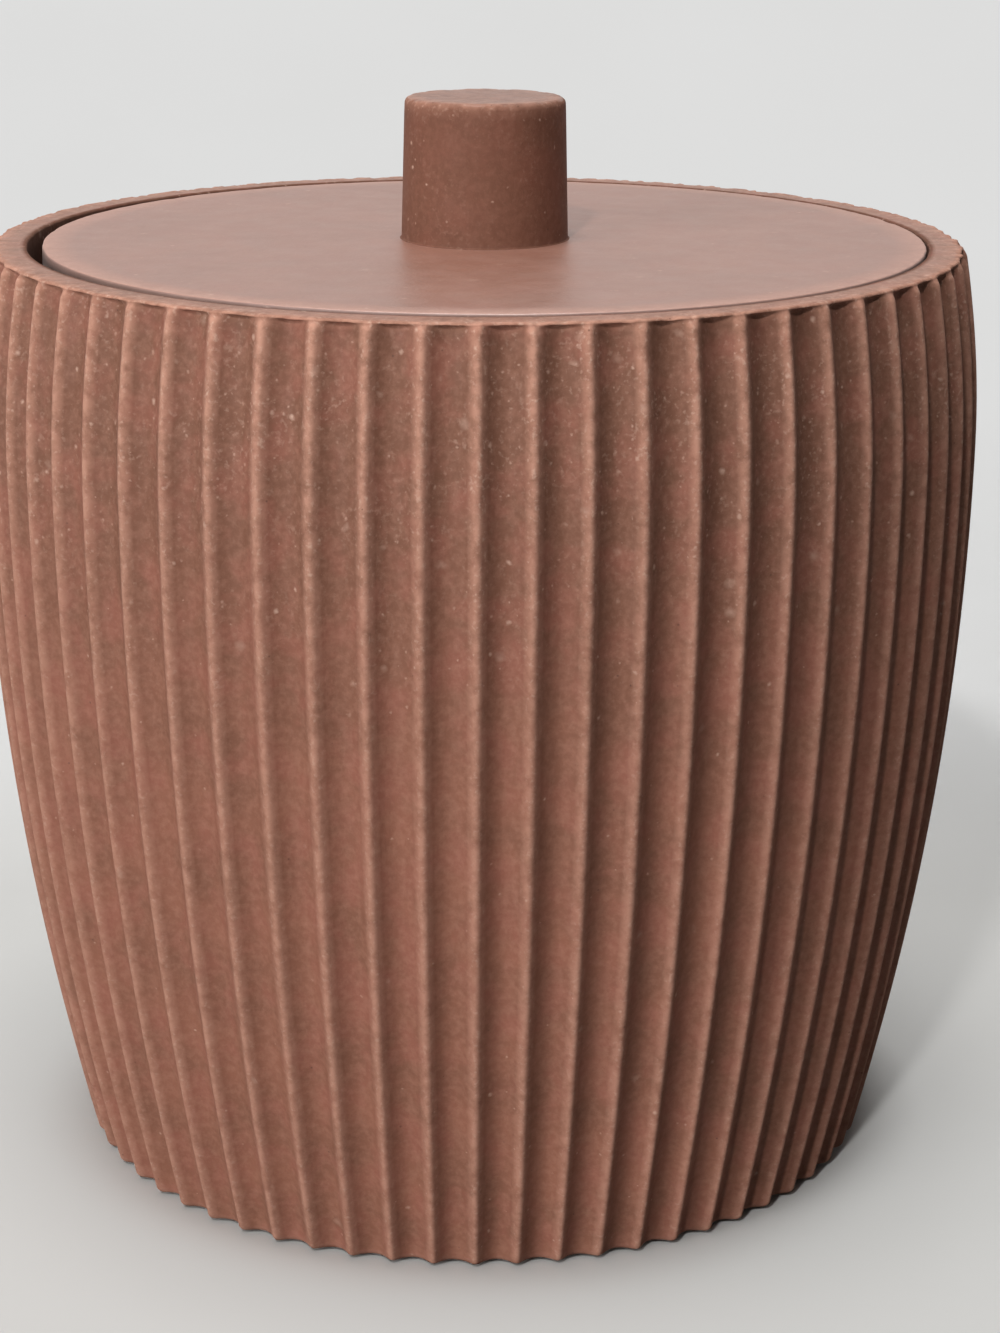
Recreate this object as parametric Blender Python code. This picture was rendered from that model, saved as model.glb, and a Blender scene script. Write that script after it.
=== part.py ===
"""A fluted, barrel-shaped jar with a loose drop-in lid and a screwed-on knob.

Metres, +Z up. The origin lies under the middle of the jar, on the plane that its foot pads stand on.
The front of the jar faces -Y.
"""
import math

import bmesh
import bpy

# Body: radii are taken over the ridges, the base's edge turns in by so many degrees
RIM_RADIUS = 0.0500
BELLY_BULGE = 0.0019
BASE_TAPER = 0.0073
BODY_HEIGHT = 0.0955
BELLY_DROP = 0.0195
BASE_ROUND = 0.0008
BASE_ROUND_TURN = 60
RIM_ROUND = 0.0005
WALL_THICKNESS = 0.0055
FLOOR_THICKNESS = 0.0060
FLOOR_ROUND = 0.0040

# Flutes: the rounded ridge between two hollows takes a share of their pitch
FLUTE_COUNT = 64
FLUTE_DEPTH = 0.00125
RIDGE_SHARE = 0.20

# Seat that the lid drops into
RIM_THICKNESS = 0.0038
LEDGE_WIDTH = 0.0030

# Lid, which lies against the right-hand side of its seat
LID_PLAY = 0.00095
LID_SHIFT = 0.00065
LID_PROUD = 0.0001
FLANGE_THICKNESS = 0.0045
SPIGOT_DEPTH = 0.0030
SPIGOT_PLAY = 0.0014
LID_EDGE = 0.0005
RING_THICKNESS = 0.0012
RING_INSET = 0.00035

# Knob and its fastening
KNOB_HEIGHT = 0.0141
KNOB_TOP_RADIUS = 0.00825
KNOB_DRAFT = 0.00035
KNOB_EDGE = 0.0008
SCREW_RADIUS = 0.0020
SCREW_LENGTH = 0.0120
SCREW_TIP_ROOM = 0.0005
INSERT_WALL = 0.0006
INSERT_LENGTH = 0.0080
BOSS_WALL = 0.0018
BOSS_DEPTH = 0.0015
HEAD_FLANGE = 0.0018
HEAD_HEIGHT = 0.0024
HEAD_EDGE = 0.0004
HEAD_RECESS = 0.0002
KEY_RADIUS = 0.00145
KEY_DEPTH = 0.0014
WASHER_MARGIN = 0.0007
WASHER_THICKNESS = 0.0008

# Foot pads
PAD_RADIUS = 0.0050
PAD_THICKNESS = 0.0015
PAD_INSET = 0.0130
STANDOFF = 0.0005

# Clearance between pieces that rest on or fit into each other
FIT = 0.0003

# Facets
WIDE_STEPS = 72
SMALL_STEPS = 24
HOLLOW_STEPS = 4
ROUND_STEPS = 2
LOWER_ROWS = 4
UPPER_ROWS = 2
BORE_ROWS = 4

# Radii that follow from the sizes above
BELLY_RADIUS = RIM_RADIUS + BELLY_BULGE
BASE_RADIUS = RIM_RADIUS - BASE_TAPER
SEAT_RADIUS = RIM_RADIUS - RIM_THICKNESS
MOUTH_RADIUS = SEAT_RADIUS - LEDGE_WIDTH
LID_RADIUS = SEAT_RADIUS - LID_PLAY
SPIGOT_RADIUS = MOUTH_RADIUS - SPIGOT_PLAY
RING_RADIUS = LID_RADIUS - RING_INSET
KNOB_FOOT_RADIUS = KNOB_TOP_RADIUS + KNOB_DRAFT
INSERT_RADIUS = SCREW_RADIUS + FIT + INSERT_WALL
BLIND_RADIUS = INSERT_RADIUS + FIT
BOSS_RADIUS = BLIND_RADIUS + BOSS_WALL
HEAD_RADIUS = SCREW_RADIUS + HEAD_FLANGE
WASHER_RADIUS = HEAD_RADIUS + WASHER_MARGIN
PAD_CIRCLE = BASE_RADIUS - PAD_INSET

# Heights that follow from the sizes above
RIM_Z = STANDOFF + BODY_HEIGHT
BELLY_Z = RIM_Z - BELLY_DROP
FLOOR_Z = STANDOFF + FLOOR_THICKNESS
LID_TOP = RIM_Z + LID_PROUD
FLANGE_Z = LID_TOP - FLANGE_THICKNESS
SPIGOT_Z = FLANGE_Z - SPIGOT_DEPTH
RING_TOP = FLANGE_Z - FIT
LEDGE_Z = RING_TOP - RING_THICKNESS - FIT
HEAD_Z = SPIGOT_Z + HEAD_RECESS
HEAD_TOP = HEAD_Z + HEAD_HEIGHT
WASHER_TOP = HEAD_TOP + FIT + WASHER_THICKNESS
COUNTERBORE_Z = WASHER_TOP + FIT
SCREW_TIP = HEAD_TOP + SCREW_LENGTH
KNOB_Z = LID_TOP + FIT
BOSS_Z = KNOB_Z - BOSS_DEPTH
INSERT_Z = BOSS_Z + FIT


def arc(centre, radius, start, end, steps):
    """Points of an arc in the r-z plane, from one angle in degrees to another."""
    points = []
    for i in range(steps + 1):
        angle = math.radians(start + (end - start) * i / steps)
        points.append((centre[0] + radius * math.cos(angle), centre[1] + radius * math.sin(angle)))
    return points


def barrel_radius(z):
    """Radius over the ridges at a height: two arcs that meet upright at the belly."""
    if z > BELLY_Z:
        rise, drop = BELLY_DROP, BELLY_RADIUS - RIM_RADIUS
    else:
        rise, drop = BELLY_Z - STANDOFF, BELLY_RADIUS - BASE_RADIUS
    sweep = (rise ** 2 + drop ** 2) / (2 * drop)
    return BELLY_RADIUS - sweep + math.sqrt(sweep ** 2 - (z - BELLY_Z) ** 2)


def bore_radius(z):
    """Inside radius: an even wall behind the flutes, never wider than the mouth at the ledge."""
    return min(MOUTH_RADIUS, barrel_radius(z) - FLUTE_DEPTH - WALL_THICKNESS)


def flute_section():
    """One flute as (share of the pitch, depth) pairs: the crest of a rounded ridge, then a hollow arc.

    The ridge and the hollow are two parabolas that meet with one slope at the edge of the ridge.
    """
    hollow = 1 - RIDGE_SHARE
    section = [(0.0, 0.0)]
    for i in range(HOLLOW_STEPS + 1):
        across = 2 * i / HOLLOW_STEPS - 1
        section.append((0.5 + across * hollow / 2, FLUTE_DEPTH * (1 - hollow * across ** 2)))
    return section


def body_rows():
    """Heights of the body's rings with how far each lies inside the barrel outline."""
    edge_z = STANDOFF + BASE_ROUND * math.sin(math.radians(BASE_ROUND_TURN))
    edge = arc((-BASE_ROUND, edge_z), BASE_ROUND, -BASE_ROUND_TURN, 0, ROUND_STEPS)
    rows = [(z, inset) for inset, z in edge]
    low, high = edge_z, RIM_Z - RIM_ROUND
    for i in range(1, LOWER_ROWS):
        rows.append((low + (BELLY_Z - low) * i / LOWER_ROWS, 0.0))
    for i in range(UPPER_ROWS + 1):
        rows.append((BELLY_Z + (high - BELLY_Z) * i / UPPER_ROWS, 0.0))
    rows.append((RIM_Z, -RIM_ROUND))
    return rows


def fluted_solid():
    """The body's solid outside, ring on ring from the base to the rim."""
    mesh = bmesh.new()
    section = flute_section()
    rings = []
    for z, inset in body_rows():
        ring = []
        for flute in range(FLUTE_COUNT):
            for share, depth in section:
                angle = 2 * math.pi * (flute + share) / FLUTE_COUNT
                radius = barrel_radius(z) + inset - depth
                ring.append(mesh.verts.new((radius * math.cos(angle), radius * math.sin(angle), z)))
        rings.append(ring)
    for low, high in zip(rings, rings[1:]):
        for i in range(len(low)):
            mesh.faces.new((low[i - 1], low[i], high[i], high[i - 1]))
    mesh.faces.new(reversed(rings[0]))
    mesh.faces.new(rings[-1])
    return mesh


def turned(profile, steps):
    """A profile of (r, z) points spun about Z; a profile off the axis is closed into a ring."""
    mesh = bmesh.new()
    points = [mesh.verts.new((r, 0, z)) for r, z in profile]
    edges = [mesh.edges.new(pair) for pair in zip(points, points[1:])]
    if profile[0][0] > 0:
        edges.append(mesh.edges.new((points[-1], points[0])))
    bmesh.ops.spin(mesh, geom=points + edges, axis=(0, 0, 1), cent=(0, 0, 0),
                   angle=2 * math.pi, steps=steps, use_merge=True)
    bmesh.ops.remove_doubles(mesh, verts=mesh.verts[:], dist=1e-7)
    bmesh.ops.recalc_face_normals(mesh, faces=mesh.faces[:])
    return mesh


def cylinder_profile(radius, bottom, top):
    """A plain cylinder as a profile that starts and ends on the axis."""
    return [(0, top), (radius, top), (radius, bottom), (0, bottom)]


def ring_profile(inner, outer, bottom, top):
    """A plain ring as a closed profile."""
    return [(inner, top), (outer, top), (outer, bottom), (inner, bottom)]


def add_empty(name, location):
    """An empty that carries a group of pieces."""
    empty = bpy.data.objects.new(name, None)
    empty.location = location
    bpy.context.scene.collection.objects.link(empty)
    return empty


def add_object(name, mesh, parent=None, location=(0, 0, 0)):
    """Turn a bmesh into an object, shaded smooth with its real edges kept sharp."""
    data = bpy.data.meshes.new(name)
    mesh.to_mesh(data)
    mesh.free()
    data.shade_smooth()
    data.set_sharp_from_angle(angle=math.radians(35))
    item = bpy.data.objects.new(name, data)
    item.parent = parent
    item.location = location
    bpy.context.scene.collection.objects.link(item)
    return item


def cut(item, name, mesh, location=(0, 0, 0)):
    """Cut a tool shape out of a piece; the tool rides with the piece and stays hidden."""
    tool = add_object(name, mesh, item, location)
    tool.hide_render = True
    tool.display_type = 'WIRE'
    boolean = item.modifiers.new(name, 'BOOLEAN')
    boolean.operation = 'DIFFERENCE'
    boolean.solver = 'EXACT'
    boolean.object = tool


def finish(item, name, colour, roughness, metallic=0.0):
    """Give a piece its own Principled material."""
    material = bpy.data.materials.new(name)
    material.use_nodes = True
    shader = material.node_tree.nodes['Principled BSDF']
    shader.inputs['Base Color'].default_value = (*colour, 1)
    shader.inputs['Roughness'].default_value = roughness
    shader.inputs['Metallic'].default_value = metallic
    item.data.materials.append(material)


def pad_places():
    """Names and centres of the four foot pads."""
    names = ('foot_pad_rear_right', 'foot_pad_rear_left', 'foot_pad_front_left', 'foot_pad_front_right')
    for i, name in enumerate(names):
        angle = math.radians(45 + 90 * i)
        yield name, PAD_CIRCLE * math.cos(angle), PAD_CIRCLE * math.sin(angle)


def build_body(parent):
    """The jar: fluted outside, stepped mouth, smooth bore and a pocket for each foot pad."""
    body = add_object('jar_body', fluted_solid(), parent)
    above = RIM_Z + FLOOR_ROUND
    profile = [(0, above), (SEAT_RADIUS + RIM_ROUND, above), (SEAT_RADIUS + RIM_ROUND, RIM_Z),
               (SEAT_RADIUS, RIM_Z - RIM_ROUND), (SEAT_RADIUS, LEDGE_Z)]
    low = FLOOR_Z + FLOOR_ROUND
    for i in range(BORE_ROWS + 1):
        z = LEDGE_Z + (low - LEDGE_Z) * i / BORE_ROWS
        profile.append((bore_radius(z), z))
    corner = (bore_radius(low) - FLOOR_ROUND, low)
    profile += arc(corner, FLOOR_ROUND, 0, -90, ROUND_STEPS)[1:]
    profile.append((0, FLOOR_Z))
    cut(body, 'jar_hollow', turned(profile, WIDE_STEPS))
    for name, x, y in pad_places():
        pocket = cylinder_profile(PAD_RADIUS + FIT, -FLOOR_ROUND, PAD_THICKNESS + FIT)
        cut(body, name + '_pocket', turned(pocket, SMALL_STEPS), (x, y, 0))
    finish(body, 'jar_terracotta', (0.27, 0.12, 0.085), 0.6)


def build_pads(parent):
    """Four thin grip pads, set in the base so that it stands just clear of the table."""
    for name, x, y in pad_places():
        mesh = turned(cylinder_profile(PAD_RADIUS, 0, PAD_THICKNESS), SMALL_STEPS)
        finish(add_object(name, mesh, parent, (x, y, 0)), name + '_silicone', (0.06, 0.05, 0.05), 0.7)


def build_lid(parent, base):
    """The lid: a flat disc with a shallow spigot, a socket for the knob and a hole for its screw."""
    profile = [(0, LID_TOP), (LID_RADIUS - LID_EDGE, LID_TOP), (LID_RADIUS, LID_TOP - LID_EDGE),
               (LID_RADIUS, FLANGE_Z), (SPIGOT_RADIUS, FLANGE_Z), (SPIGOT_RADIUS, SPIGOT_Z + LID_EDGE),
               (SPIGOT_RADIUS - LID_EDGE, SPIGOT_Z), (0, SPIGOT_Z)]
    lid = add_object('lid_disc', turned([(r, z - base) for r, z in profile], WIDE_STEPS), parent)
    hole = [(0, LID_TOP + FIT), (BOSS_RADIUS + FIT, LID_TOP + FIT), (BOSS_RADIUS + FIT, BOSS_Z - FIT),
            (SCREW_RADIUS + FIT, BOSS_Z - FIT), (SCREW_RADIUS + FIT, COUNTERBORE_Z),
            (WASHER_RADIUS + FIT, COUNTERBORE_Z), (WASHER_RADIUS + FIT, SPIGOT_Z - FIT), (0, SPIGOT_Z - FIT)]
    cut(lid, 'lid_screw_hole', turned([(r, z - base) for r, z in hole], SMALL_STEPS))
    finish(lid, 'lid_terracotta', (0.30, 0.15, 0.11), 0.5)

    ring = ring_profile(SPIGOT_RADIUS + FIT, RING_RADIUS, RING_TOP - RING_THICKNESS, RING_TOP)
    seal = add_object('lid_seal_ring', turned([(r, z - base) for r, z in ring], WIDE_STEPS), parent)
    finish(seal, 'seal_silicone', (0.55, 0.50, 0.45), 0.55)


def build_knob(parent, base):
    """The knob with its threaded insert, held from below by a screw and washer."""
    blind_top = SCREW_TIP + SCREW_TIP_ROOM
    top = KNOB_Z + KNOB_HEIGHT
    profile = [(0, top)]
    profile += arc((KNOB_TOP_RADIUS - KNOB_EDGE, top - KNOB_EDGE), KNOB_EDGE, 90, 0, ROUND_STEPS)
    profile += [(KNOB_FOOT_RADIUS, KNOB_Z), (BOSS_RADIUS, KNOB_Z), (BOSS_RADIUS, BOSS_Z),
                (BLIND_RADIUS, BOSS_Z), (BLIND_RADIUS, blind_top), (0, blind_top)]
    knob = add_object('lid_knob', turned([(r, z - base) for r, z in profile], 2 * SMALL_STEPS), parent)
    finish(knob, 'knob_terracotta', (0.27, 0.12, 0.085), 0.55)

    sleeve = ring_profile(SCREW_RADIUS + FIT, INSERT_RADIUS, INSERT_Z, INSERT_Z + INSERT_LENGTH)
    insert = add_object('knob_threaded_insert', turned([(r, z - base) for r, z in sleeve], SMALL_STEPS), parent)
    finish(insert, 'insert_brass', (0.70, 0.48, 0.18), 0.35, 1.0)

    shape = [(0, SCREW_TIP), (SCREW_RADIUS - HEAD_EDGE, SCREW_TIP), (SCREW_RADIUS, SCREW_TIP - HEAD_EDGE),
             (SCREW_RADIUS, HEAD_TOP), (HEAD_RADIUS, HEAD_TOP), (HEAD_RADIUS, HEAD_Z + HEAD_EDGE),
             (HEAD_RADIUS - HEAD_EDGE, HEAD_Z), (0, HEAD_Z)]
    screw = add_object('knob_screw', turned([(r, z - base) for r, z in shape], SMALL_STEPS), parent)
    key = cylinder_profile(KEY_RADIUS, HEAD_Z - FIT - base, HEAD_Z + KEY_DEPTH - base)
    cut(screw, 'screw_key_socket', turned(key, 6))
    finish(screw, 'screw_steel', (0.62, 0.62, 0.60), 0.3, 1.0)

    disc = ring_profile(SCREW_RADIUS + FIT, WASHER_RADIUS, WASHER_TOP - WASHER_THICKNESS, WASHER_TOP)
    washer = add_object('knob_washer', turned([(r, z - base) for r, z in disc], SMALL_STEPS), parent)
    finish(washer, 'washer_steel', (0.55, 0.55, 0.54), 0.4, 1.0)


def main():
    """Clear the scene and build the jar and its lid."""
    for item in list(bpy.data.objects):
        bpy.data.objects.remove(item)
    jar = add_empty('jar', (0, 0, 0))
    lid = add_empty('lid_lift', (LID_SHIFT, 0, LEDGE_Z))
    build_body(jar)
    build_pads(jar)
    build_lid(lid, LEDGE_Z)
    build_knob(lid, LEDGE_Z)


main()
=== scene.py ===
"""Dress the lidded jar: fluted cast body, drop-in lid, knob, seal, pads and a plain pale stage."""
import math
import random
from typing import NamedTuple

import bpy
from mathutils import Matrix, Vector, noise


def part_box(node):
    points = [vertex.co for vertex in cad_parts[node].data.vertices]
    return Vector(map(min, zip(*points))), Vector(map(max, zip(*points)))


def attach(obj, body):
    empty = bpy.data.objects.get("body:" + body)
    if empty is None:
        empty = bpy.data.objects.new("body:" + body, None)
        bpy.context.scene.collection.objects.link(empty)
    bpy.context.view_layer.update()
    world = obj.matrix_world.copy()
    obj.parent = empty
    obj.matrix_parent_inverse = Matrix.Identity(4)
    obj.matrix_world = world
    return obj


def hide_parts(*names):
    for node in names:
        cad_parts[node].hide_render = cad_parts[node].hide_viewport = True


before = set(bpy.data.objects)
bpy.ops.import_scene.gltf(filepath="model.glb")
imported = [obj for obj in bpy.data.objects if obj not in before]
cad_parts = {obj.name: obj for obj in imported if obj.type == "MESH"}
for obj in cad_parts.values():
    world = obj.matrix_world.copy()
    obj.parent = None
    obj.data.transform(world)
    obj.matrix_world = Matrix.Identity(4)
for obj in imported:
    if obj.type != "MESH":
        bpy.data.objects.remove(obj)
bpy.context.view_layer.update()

bl_info = {
    "name": "Fluted Lidded Jar",
    "version": (1, 0, 0),
    "blender": (4, 5, 0),
    "location": "View3D > Sidebar > Jar",
    "description": "Builds the visible surfaces of a fluted jar with a drop-in lid and a round knob",
    "category": "Object",
}

BODY_LOW, BODY_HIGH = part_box("jar_body")
LID_LOW, LID_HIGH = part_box("lid_disc")
KNOB_LOW, KNOB_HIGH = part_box("lid_knob")
RING_LOW, RING_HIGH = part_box("lid_seal_ring")
WASHER_LOW, WASHER_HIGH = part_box("knob_washer")
PAD_NODES = sorted(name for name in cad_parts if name.startswith("foot_pad"))
LID_CENTRE = (LID_LOW[0] + LID_HIGH[0]) / 2


class ClayLook(NamedTuple):
    """How a clay piece looks: drifts of tone, roughness range, flecks low and high up, index of refraction,
    and how strongly the upper part is painted over with shade, to even out the lamps' brighter light up
    there."""
    drifting: float
    rough: tuple
    flecks: tuple
    glance: float
    top_shade_and_ridge_highlight: float


BODY_LOOK = ClayLook(drifting=0.6, rough=(0.62, 0.78), flecks=(0.07, 0.70), glance=1.32, top_shade_and_ridge_highlight=0.95)
LID_LOOK = ClayLook(drifting=0.2, rough=(0.36, 0.44), flecks=(0.10, 0.12), glance=2.3, top_shade_and_ridge_highlight=0.0)
KNOB_LOOK = ClayLook(drifting=0.15, rough=(0.66, 0.78), flecks=(0.2, 0.22), glance=1.28, top_shade_and_ridge_highlight=0.0)

# Mineral flecks as (cells per metre, radius in metres, strength)
PALE_FLECKS = ((380.0, 0.00070, 0.30), (620.0, 0.00036, 0.65), (1300.0, 0.00020, 0.45))
DARK_FLECKS = (700.0, 0.00016, 0.70)
DARK_FLECKS_KEPT = 0.20


class LampPlace(NamedTuple):
    """Where a square lamp stands, in degrees from the left towards the front, degrees up and metres."""
    across: float
    height: float
    distance: float
    size: float


FRONT_LAMP = LampPlace(across=77.0, height=40.0, distance=1.2, size=0.07)
SIDE_WINDOW = LampPlace(across=47.0, height=12.0, distance=1.0, size=0.50)
CEILING_BOUNCE = LampPlace(across=65.0, height=86.0, distance=1.3, size=0.45)

# Sweep: where the table bends up, the radius of that bend, the wall's height and half the width
SWEEP_BACK = 0.30
SWEEP_BEND = 0.25
SWEEP_TOP = 1.6
SWEEP_HALF = 8.0

# Glow of the table as (from, to, share) by distance from the jar's foot: more, then less, then more again
GLOW_BESIDE = (0.0425, 0.050, 0.40)
GLOW_CLEAR = (0.065, 0.12, 0.32)
GLOW_FAR = (0.20, 0.38, 0.82)

# Uneven flutes: seed, range of the depth, and sideways sway as a share of the pitch
FLUTE_SEED = 11
DEPTH_RANGE = (0.94, 1.05)
SWAY = 0.018

# Chips on the edges of lid and knob: cells per metre of the coarse and of the fine noise
COARSE_CHIPS = 420.0
FINE_CHIPS = 1500.0

# Mesh: degrees that the base edge turns in, steps along the body, and the smallest ring of a turned shape
BASE_TURN_IN = 60
BASE_STEPS = 6
BARREL_STEPS = 56
CREST_STEPS = 8
AXIS_RING = 0.0005


def length(name, description, default):
    """A length property in metres."""
    return bpy.props.FloatProperty(name=name, description=description, default=default, precision=5,
                                   subtype='DISTANCE', unit='LENGTH')


def share(name, description, default):
    """A share between nought and one."""
    return bpy.props.FloatProperty(name=name, description=description, default=default, min=0.0, max=1.0,
                                   subtype='FACTOR')


def amount(name, description, default):
    """A plain number that isn't negative."""
    return bpy.props.FloatProperty(name=name, description=description, default=default, min=0.0)


def colour(name, description, default):
    """A linear colour property."""
    return bpy.props.FloatVectorProperty(name=name, description=description, default=default, size=3,
                                         min=0.0, max=1.0, subtype='COLOR')


def angle(name, description, degrees):
    """An angle property, given in degrees."""
    return bpy.props.FloatProperty(name=name, description=description, default=math.radians(degrees),
                                   subtype='ANGLE', unit='ROTATION')


class JarSizes(bpy.types.PropertyGroup):
    """Sizes of the visible surfaces."""
    rim_radius: length("Rim radius", "Over the ridges at the rim", 0.0500)
    belly_radius: length("Belly radius", "Over the ridges at the widest place", BODY_HIGH[0])
    base_radius: length("Base radius", "Over the ridges where the wall would meet the base", 0.0427)
    belly_drop: length("Belly drop", "From the rim down to the widest place", 0.0195)
    base_round: length("Base round", "Radius of the turned-in edge at the base", 0.0008)
    crest_wear: length("Crest wear", "How far below the rim the ridges are worn", 0.0009)
    crest_drop: share("Crest drop", "Part of the ridge that is worn away at the rim", 0.25)
    lip_fill: share("Lip fill", "Part of the hollow that the lip of the rim closes", 0.55)
    rim_round: length("Rim round", "Worn radius on the edges of the rim", 0.00022)
    flute_depth: length("Flute depth", "How deep each flute is scooped", 0.00125)
    flute_count: bpy.props.IntProperty(name="Flutes", description="Flutes round the body", default=64, min=8)
    ridge_share: share("Ridge share", "Part of the flute pitch that the rounded ridge takes", 0.20)
    seat_radius: length("Seat radius", "Of the recess that the lid drops into", 0.0462)
    ledge_width: length("Ledge width", "Of the step that carries the lid", 0.0030)
    wall: length("Wall", "Thickness behind the flutes", 0.0055)
    floor: length("Floor", "Thickness of the jar's floor", 0.0060)
    floor_round: length("Floor round", "Inside radius between wall and floor", 0.0040)
    lid_edge: length("Lid edge", "Worn radius on the lid's top edge", 0.00022)
    flange: length("Lid flange", "Thickness of the lid's edge", 0.0045)
    lid_settle: length("Lid settle", "How far the lid lies towards the front of its seat", 0.00035)
    spigot_radius: length("Spigot radius", "Of the step under the lid", 0.0418)
    knob_top: length("Knob top radius", "At the top of the knob", 0.00825)
    knob_edge: length("Knob edge", "Worn radius on the knob's top edge", 0.0007)
    knob_foot: length("Knob foot", "Small fillet where the knob meets the lid", 0.0002)
    small_round: length("Small round", "Radius on small moulded edges", 0.0003)
    clearance: length("Clearance", "Between pieces that fit into each other", 0.0003)
    chipping: length("Chipping", "Unevenness of the cast edges", 0.00030)


class JarColours(bpy.types.PropertyGroup):
    """Colours of the finishes."""
    clay: colour("Clay", "Main colour of the cast body", (0.248, 0.101, 0.064))
    # Painted light: the lid's clay is set lighter than the body's, standing in for the brighter light its top
    # catches.
    lid_clay_with_painted_light: colour("Lid clay", "Main colour of the lid", (0.300, 0.130, 0.087))
    # Painted shade: the knob's clay is set much darker than the body's, taking back light that the lamps put
    # on it.
    knob_clay_with_painted_shade: colour("Knob clay", "Main colour of the knob", (0.142, 0.059, 0.037))
    # Dark clay is used for random drifts and also as painted shade over the body's upper part.
    clay_dark: colour("Dark clay", "Darker drifts, and the handled upper part", (0.168, 0.073, 0.045))
    clay_red: colour("Red clay", "Redder drifts in the body", (0.270, 0.098, 0.068))
    # Pale clay: rubbed ridges and edges, and painted highlight on the ridge crests and the rim's flat top.
    pale_clay_wear_and_highlight: colour("Pale clay", "Worn ridges and edges", (0.490, 0.255, 0.182))
    # Painted shade: the dark colour in the gap round the lid, on the lid's side, the rim's inner edge and the
    # seat wall.
    gap_shade_clay: colour("Rough clay", "Unworn rough edges in the gap round the lid", (0.085, 0.040, 0.026))
    fleck: colour("Pale fleck", "Light mineral flecks", (0.600, 0.400, 0.310))
    fleck_dark: colour("Dark fleck", "Dark mineral flecks", (0.070, 0.032, 0.024))
    silicone: colour("Seal", "Silicone of the seal ring", (0.560, 0.510, 0.450))
    pad: colour("Foot pad", "Silicone of the foot pads", (0.060, 0.052, 0.050))
    steel: colour("Steel", "Screw and washer", (0.600, 0.600, 0.590))
    brass: colour("Brass", "Threaded insert", (0.700, 0.480, 0.190))
    table: colour("Table", "Surface that the jar stands on", (0.602, 0.598, 0.581))
    table_cloud: colour("Table cloud", "Faint clouds on the table and backdrop", (0.450, 0.440, 0.410))
    backdrop: colour("Backdrop", "Surface behind the jar", (0.730, 0.730, 0.725))
    bounce: colour("Bounce", "Light that the table throws back at the jar", (0.085, 0.081, 0.077))


class JarStage(bpy.types.PropertyGroup):
    """Camera and light."""
    eye_back: length("Camera distance", "From the jar's axis, level", 0.29818)
    eye_up: length("Camera height", "Above the table", 0.14068)
    tilt: angle("Tilt", "How far the camera looks down", 16.989)
    turn: angle("Turn", "How far the camera looks to the right", 0.475)
    roll: angle("Roll", "Lean of the camera", 0.312)
    lens: amount("Lens", "Focal length in millimetres", 77.780)
    lamp: amount("Lamp", "Watts of the lamp in front", 6.0)
    window: amount("Window", "Watts of the broad low light on the left", 7.2)
    ceiling: amount("Ceiling", "Watts of the broad light overhead", 10.0)
    surroundings: amount("Surroundings", "Strength of the even light all around", 0.012)


class Outline:
    """Radii of the barrel at any height, from two arcs that meet upright at the belly."""

    def __init__(self, sizes):
        self.sizes = sizes
        self.base_z = BODY_LOW[2]
        self.rim_z = BODY_HIGH[2]
        self.belly_z = self.rim_z - sizes.belly_drop
        self.edge_z = self.base_z + sizes.base_round * math.sin(math.radians(BASE_TURN_IN))
        self.round_z = self.rim_z - sizes.rim_round
        self.ledge_z = RING_LOW[2] - sizes.clearance

    def barrel(self, z):
        """Radius over the ridges."""
        s = self.sizes
        if z > self.belly_z:
            rise, drop = s.belly_drop, s.belly_radius - s.rim_radius
        else:
            rise, drop = self.belly_z - self.base_z, s.belly_radius - s.base_radius
        sweep = (rise ** 2 + drop ** 2) / (2 * drop)
        return s.belly_radius - sweep + math.sqrt(sweep ** 2 - (z - self.belly_z) ** 2)

    def bore(self, z):
        """Inside radius."""
        s = self.sizes
        return min(s.seat_radius - s.ledge_width, self.barrel(z) - s.flute_depth - s.wall)


class WallRow(NamedTuple):
    """One ring of the body: radius, height, share of the flute depth, wear, share of the chipping, polish.

    Above nought the piece is painted pale, rubbed and in places a painted highlight; below nought it is
    painted dark and rough, as painted shade in the gap round the lid.
    """
    r: float
    z: float
    fluted: float = 0.0
    wear_highlight_and_gap_shade: float = 0.0
    chipped: float = 0.0
    polish: float = 0.0


def arc(centre, radius, start, end, steps):
    """Points of an arc in the r-z plane, between two angles in degrees."""
    points = []
    for i in range(steps + 1):
        turn = math.radians(start + (end - start) * i / steps)
        points.append((centre[0] + radius * math.cos(turn), centre[1] + radius * math.sin(turn)))
    return points


def spaced(low, high, steps):
    """Evenly spaced values between two ends, both left out."""
    return [low + (high - low) * i / steps for i in range(1, steps)]


def ring_mesh(name, rings, stored):
    """A closed mesh from rings of points, capped at both ends, with values stored on the points."""
    columns = len(rings[0])
    points = [point for ring in rings for point in ring]
    faces = []
    for row in range(len(rings) - 1):
        low, high = row * columns, (row + 1) * columns
        for i in range(columns):
            j = (i + 1) % columns
            faces.append((low + i, low + j, high + j, high + i))
    faces.append(tuple(reversed(range(columns))))
    last = (len(rings) - 1) * columns
    faces.append(tuple(range(last, last + columns)))
    mesh = bpy.data.meshes.new(name)
    mesh.from_pydata(points, [], faces)
    for key, values in stored.items():
        mesh.attributes.new(key, 'FLOAT', 'POINT').data.foreach_set("value", values)
    mesh.shade_smooth()
    mesh.set_sharp_from_angle(angle=math.radians(50))
    return mesh


def add_piece(name, mesh, body, nodes, material):
    """Put a mesh in the scene as a piece that rides on a body and stands for CAD nodes."""
    piece = bpy.data.objects.new(name, mesh)
    bpy.context.scene.collection.objects.link(piece)
    mesh.materials.append(material)
    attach(piece, body)
    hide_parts(*nodes)
    return piece


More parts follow.
